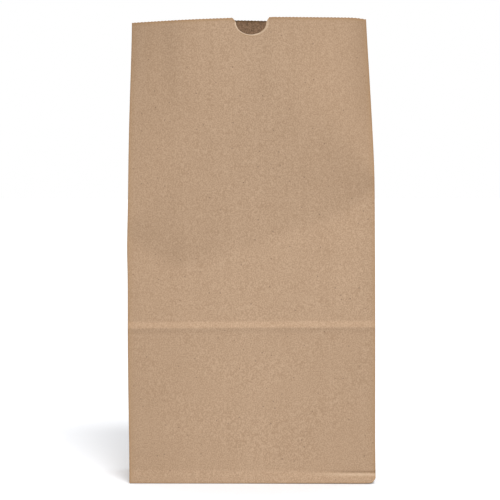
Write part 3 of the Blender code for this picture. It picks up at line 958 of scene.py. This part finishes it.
def kraft_paper(look, sizes):
    material = bpy.data.materials.new("kraft_paper")
    maker = Maker(material)
    place = maker.add("ShaderNodeTexCoord", output=3)
    axes = maker.tree.nodes.new("ShaderNodeSeparateXYZ")
    maker.tree.links.new(place.socket, axes.inputs[0])
    x, y, z = (Value(maker, socket) for socket in axes.outputs)

    clouds = maker.grain(CLOUDS, detail=3.0) - 0.5
    streaks = maker.grain(STREAKS, detail=2.0) - 0.5
    mottle = maker.grain(MOTTLE) - 0.5
    fine = maker.grain(FINE) - 0.5
    upright = maker.grain(UPRIGHT_FIBRES)
    level = maker.grain(LEVEL_FIBRES)

    light = maker.ramp(upright, 0.60, 0.78) + maker.ramp(level, 0.63, 0.80)
    dark = maker.ramp(upright, 0.40, 0.24) + maker.ramp(level, 0.37, 0.22)
    tone = 0.5 + clouds * 0.34 + streaks * 0.26 + mottle * 0.48 + fine * 3.0
    colour = maker.blend(tone, shifted(look.paper, -look.contrast), shifted(look.paper, look.contrast))
    colour = maker.blend(light * look.fibres, colour, look.light_fibre)
    colour = maker.blend(dark * look.fibres, colour, look.dark_fibre)

    cells = {"Vector": maker.places(SPECKS), "Scale": 1.0}
    from_middle = maker.add("ShaderNodeTexVoronoi", {"feature": "F1"}, cells)
    chance = maker.add("ShaderNodeTexVoronoi", {"feature": "F1"}, cells, output=1)
    picked = maker.add("ShaderNodeSeparateColor", None, {0: chance})
    spot = maker.ramp(from_middle, 0.113, 0.052)
    colour = maker.blend(spot * (picked > 0.30) * look.dark_specks, colour, look.speck)
    colour = maker.blend(spot * (picked < 0.25) * look.light_specks, colour, look.light_fibre)

    wear, handled, inside = (maker.attribute(name) for name in ("wear", "handled", "inside"))
    # Painted shade: darker towards the corner folds, most at the front's upper right
    darker = shifted(look.paper, -5 * look.handling)
    colour = maker.blend(handled * 0.2, colour, darker)
    # Worn paper along the folds and cut edges, and painted shade along the bottom edge where the paper
    # meets the floor
    colour = maker.blend(wear * 0.95, colour, look.worn)
    # The notch's pale cut edge with a painted highlight on its left, and a painted highlight on the
    # foot's lip
    edges = (
        (diagonal_folds, 0.5, look.worn),
        (flap_edges, 0.6, look.worn),
        (notch_edge_and_highlight, 0.85, look.cut_edge_and_highlight),
        (foot_lip_highlight, 0.26, look.cut_edge_and_highlight),
    )
    for edge, strength, other in edges:
        colour = maker.blend(edge(maker, sizes, x, y, z) * strength, colour, other)

    # Painted shade: the inner side is painted darker than the outer, less dark towards the bottom,
    # darker along the folds and cut edges, with the grain's unevenness
    inner_shade = tuple(look.inside * tint for tint in (1.05, 0.94, 0.85))
    inner_shade_tone = 0.5 + (fine + mottle) * 0.9 - wear * 0.45 + maker.ramp(z, 0.24, 0.12) * 0.35
    darkest, lightest = (tuple(level * part for part in inner_shade) for level in (0.55, 1.45))
    inner = maker.blend(inner_shade_tone, darkest, lightest)
    shade = maker.blend(inside, (1.0, 1.0, 1.0), inner)
    settings = {"data_type": "RGBA", "blend_type": "MULTIPLY"}
    colour = maker.add("ShaderNodeMix", settings, {0: 1.0, 6: colour, 7: shade}, output=2)

    relief = mottle * 0.6 + fine * 0.5 + light * 0.35 - dark * 0.2 + clouds * 0.8
    normal = maker.add(
        "ShaderNodeBump", None, {"Strength": look.relief, "Distance": 0.00012, "Height": relief}
    )
    roughness = look.roughness + mottle * 0.16 - wear * 0.06
    shader = maker.add("ShaderNodeBsdfPrincipled", None, {
        "Base Color": colour, "Roughness": roughness, "Normal": normal, "IOR": 1.45,
        "Specular IOR Level": 0.3,
    })
    maker.add("ShaderNodeOutputMaterial", None, {"Surface": shader})
    return material


def diagonal_folds(maker, sizes, x, y, z):
    """1 along the folds that run from the bottom corners up to the gussets' centre creases."""
    from_fold = abs(z + abs(y) - sizes.depth / 2)
    on_gusset = abs(x) > sizes.width / 2 - 0.004
    return maker.ramp(from_fold, 0.0011, 0.0003) * on_gusset * (z < sizes.depth / 2)


def flap_edges(maker, sizes, x, y, z):
    """1 along the mitred ends of the flaps under the base, and along the outer flap's cut edge."""
    end = sizes.width / 2 - sizes.depth / 2 - BASE_RIM
    from_mitre = abs(abs(x) - abs(y) - end)
    overlap = sizes.flap_overlap / 2
    from_cut = abs(y - overlap)
    cut = maker.ramp(from_cut, 0.0008, 0.0002) * (abs(x) < end - overlap)
    return cut.math("MAXIMUM", maker.ramp(from_mitre, 0.0008, 0.0002)) * (z < 0.0006)


def foot_lip_highlight(maker, sizes, x, y, z):
    """1 along a painted highlight on the lip of the bottom strip, towards the front's right end."""
    from_lip = abs(z - (sizes.foot_height - sizes.corner_drop - 0.0005))
    return maker.ramp(from_lip, 0.0013, 0.0002) * maker.ramp(x, 0.030, 0.066) * (y < 0.0)


def notch_edge_and_highlight(maker, sizes, x, y, z):
    """1 along the thumb notch's pale cut edge and 0 past it; paler on its left, where the edge faces the
    light, as painted highlight.
    """
    rise = sizes.height - sizes.lean_start
    middle = sizes.notch_offset - sizes.lean * rise / 2
    half = sizes.notch_width / 2
    depth = sizes.notch_depth - sizes.lip_depth
    across = (x - middle) / half
    down = (z - (sizes.height - sizes.lip_depth)) / depth
    from_middle = (across * across + down * down) ** 0.5
    band = maker.ramp(from_middle, 1.10, 1.03) * (1.0 - 0.6 * maker.ramp(across, 0.1, 0.9))
    under_lips = z < sizes.height - sizes.lip_depth * 0.4
    return band * under_lips * (y < 0.0)


# Operators

class OBJECT_OT_add_paper_bag(bpy.types.Operator):
    """Add the opened kraft paper bag"""

    bl_idname = "paper_bag.add_bag"
    bl_label = "Paper Bag"

    def execute(self, context):
        sizes = context.scene.paper_bag_sizes
        sheet = OpenedSheet(sizes)
        mesh = make_sheet(sheet)
        data = bpy.data.meshes.new("kraft_bag")
        mesh.normal_update()
        mesh.to_mesh(data)
        mesh.free()
        bag = bpy.data.objects.new("kraft_bag", data)
        context.scene.collection.objects.link(bag)
        wall = bag.modifiers.new("paper", "SOLIDIFY")
        wall.thickness = sizes.paper
        wall.offset = -1.0
        wall.use_even_offset = True
        apply_modifiers(bag)
        data = bag.data
        mark_inside(data)
        add_layers(sheet, data)
        data.shade_smooth()
        data.set_sharp_from_angle(angle=math.radians(50))
        data.materials.append(kraft_paper(context.scene.paper_bag_look, sizes))
        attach(bag, "root")
        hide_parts(NODE)
        return {"FINISHED"}


def mark_inside(data):
    """Solidify puts the inner side's points after the outer side's."""
    count = len(data.vertices)
    inside = data.attributes.new("inside", "FLOAT", "POINT")
    inside.data.foreach_set("value", [float(index >= count // 2) for index in range(count)])


def apply_modifiers(thing):
    """Keep the mesh as its modifiers make it."""
    bpy.context.view_layer.update()
    evaluated = thing.evaluated_get(bpy.context.evaluated_depsgraph_get())
    made = bpy.data.meshes.new_from_object(evaluated)
    thing.modifiers.clear()
    thing.data = made


WHITE = (1.0, 1.0, 1.0, 1.0)
FLOOR_SIDE = 12.0
FLOOR_GAP = 0.0001          # under the base, so that the two surfaces stay apart


class OBJECT_OT_add_paper_bag_stage(bpy.types.Operator):
    """Add the white floor, the soft light and the camera"""

    bl_idname = "paper_bag.add_stage"
    bl_label = "Stage"

    def execute(self, context):
        stage = context.scene.paper_bag_stage
        add_floor(context, stage)
        add_sky(context, stage)
        add_key(context, stage)
        add_camera(context, stage)
        context.scene.view_settings.view_transform = "Standard"
        return {"FINISHED"}


def camera_sees(maker):
    """1 for what the camera sees directly or in a reflection."""
    rays = maker.tree.nodes.new("ShaderNodeLightPath")
    kinds = ("Is Camera Ray", "Is Glossy Ray", "Is Transmission Ray")
    direct, glossy, passing = (Value(maker, rays.outputs[kind]) for kind in kinds)
    return direct.math("MAXIMUM", glossy).math("MAXIMUM", passing)


def add_floor(context, stage):
    bpy.ops.mesh.primitive_grid_add(x_subdivisions=8, y_subdivisions=8, size=FLOOR_SIDE)
    floor = context.object
    floor.name = "floor"
    floor.location.z = -FLOOR_GAP
    material = bpy.data.materials.new("white_floor")
    maker = Maker(material)
    seen = camera_sees(maker)
    colour = maker.blend(seen, (stage.bounce,) * 3, stage.floor)
    lit = maker.add("ShaderNodeBsdfDiffuse", None, {"Color": colour})
    glow = maker.add("ShaderNodeEmission", None, {"Color": WHITE, "Strength": seen * stage.glow})
    both = maker.add("ShaderNodeAddShader", None, {0: lit, 1: glow})
    maker.add("ShaderNodeOutputMaterial", None, {"Surface": both})
    floor.data.materials.append(material)


def add_sky(context, stage):
    world = bpy.data.worlds.new("studio")
    context.scene.world = world
    maker = Maker(world)
    seen = camera_sees(maker)
    direction = maker.tree.nodes.new("ShaderNodeSeparateXYZ")
    maker.tree.links.new(maker.add("ShaderNodeTexCoord").socket, direction.inputs[0])
    behind = maker.ramp(Value(maker, direction.outputs[1]), -0.05, 0.80)
    level = stage.sky + behind * (stage.back_sky - stage.sky)
    strength = level * (1.0 - seen) + seen
    sky = maker.add("ShaderNodeBackground", None, {"Color": WHITE, "Strength": strength})
    maker.add("ShaderNodeOutputWorld", None, {"Surface": sky})


def add_key(context, stage):
    light = bpy.data.lights.new("key", "SUN")
    light.energy = stage.key_strength
    light.angle = stage.key_angle
    key = bpy.data.objects.new("key", light)
    context.scene.collection.objects.link(key)
    level = math.cos(stage.key_rise)
    x, y = math.sin(stage.key_turn) * level, -math.cos(stage.key_turn) * level
    away = Vector((x, y, math.sin(stage.key_rise)))
    key.location = 3 * away
    key.rotation_euler = (-away).to_track_quat("-Z", "Y").to_euler()


def add_camera(context, stage):
    data = bpy.data.cameras.new("camera")
    data.sensor_width = 36.0
    data.lens = stage.camera_lens
    data.clip_end = 50.0
    camera = bpy.data.objects.new("camera", data)
    context.scene.collection.objects.link(camera)
    turn = Matrix.Rotation(stage.camera_turn, 4, "Z")
    y = -DEPTH / 2 - stage.camera_distance
    camera.location = turn @ Vector((stage.camera_side, y, stage.camera_height))
    camera.rotation_euler = (math.pi / 2 - stage.camera_pitch, 0.0, stage.camera_turn)
    context.scene.camera = camera


class VIEW3D_PT_paper_bag(bpy.types.Panel):
    """Lists the pieces and their settings"""

    bl_label = "Paper Bag"
    bl_idname = "VIEW3D_PT_paper_bag"
    bl_space_type = "VIEW_3D"
    bl_region_type = "UI"
    bl_category = "Paper Bag"

    def draw(self, context):
        layout = self.layout
        layout.operator(OBJECT_OT_add_paper_bag.bl_idname)
        layout.operator(OBJECT_OT_add_paper_bag_stage.bl_idname)
        for group in (
            context.scene.paper_bag_sizes, context.scene.paper_bag_look, context.scene.paper_bag_stage
        ):
            box = layout.box()
            for name in group.__annotations__:
                box.prop(group, name)


CLASSES = (
    PaperBagSizes,
    PaperBagLook,
    PaperBagStage,
    OBJECT_OT_add_paper_bag,
    OBJECT_OT_add_paper_bag_stage,
    VIEW3D_PT_paper_bag,
)


def label_settings():
    """A setting's label in the panel is its own name."""
    for group in (PaperBagSizes, PaperBagLook, PaperBagStage):
        for name, setting in group.__annotations__.items():
            setting.keywords["name"] = name.replace("_", " ").title()


def register():
    label_settings()
    for item in CLASSES:
        bpy.utils.register_class(item)
    bpy.types.Scene.paper_bag_sizes = PointerProperty(type=PaperBagSizes)
    bpy.types.Scene.paper_bag_look = PointerProperty(type=PaperBagLook)
    bpy.types.Scene.paper_bag_stage = PointerProperty(type=PaperBagStage)


def unregister():
    del bpy.types.Scene.paper_bag_stage
    del bpy.types.Scene.paper_bag_look
    del bpy.types.Scene.paper_bag_sizes
    for item in reversed(CLASSES):
        bpy.utils.unregister_class(item)


def main():
    register()
    bpy.ops.paper_bag.add_bag()
    bpy.ops.paper_bag.add_stage()


if __name__ == "__main__":
    main()
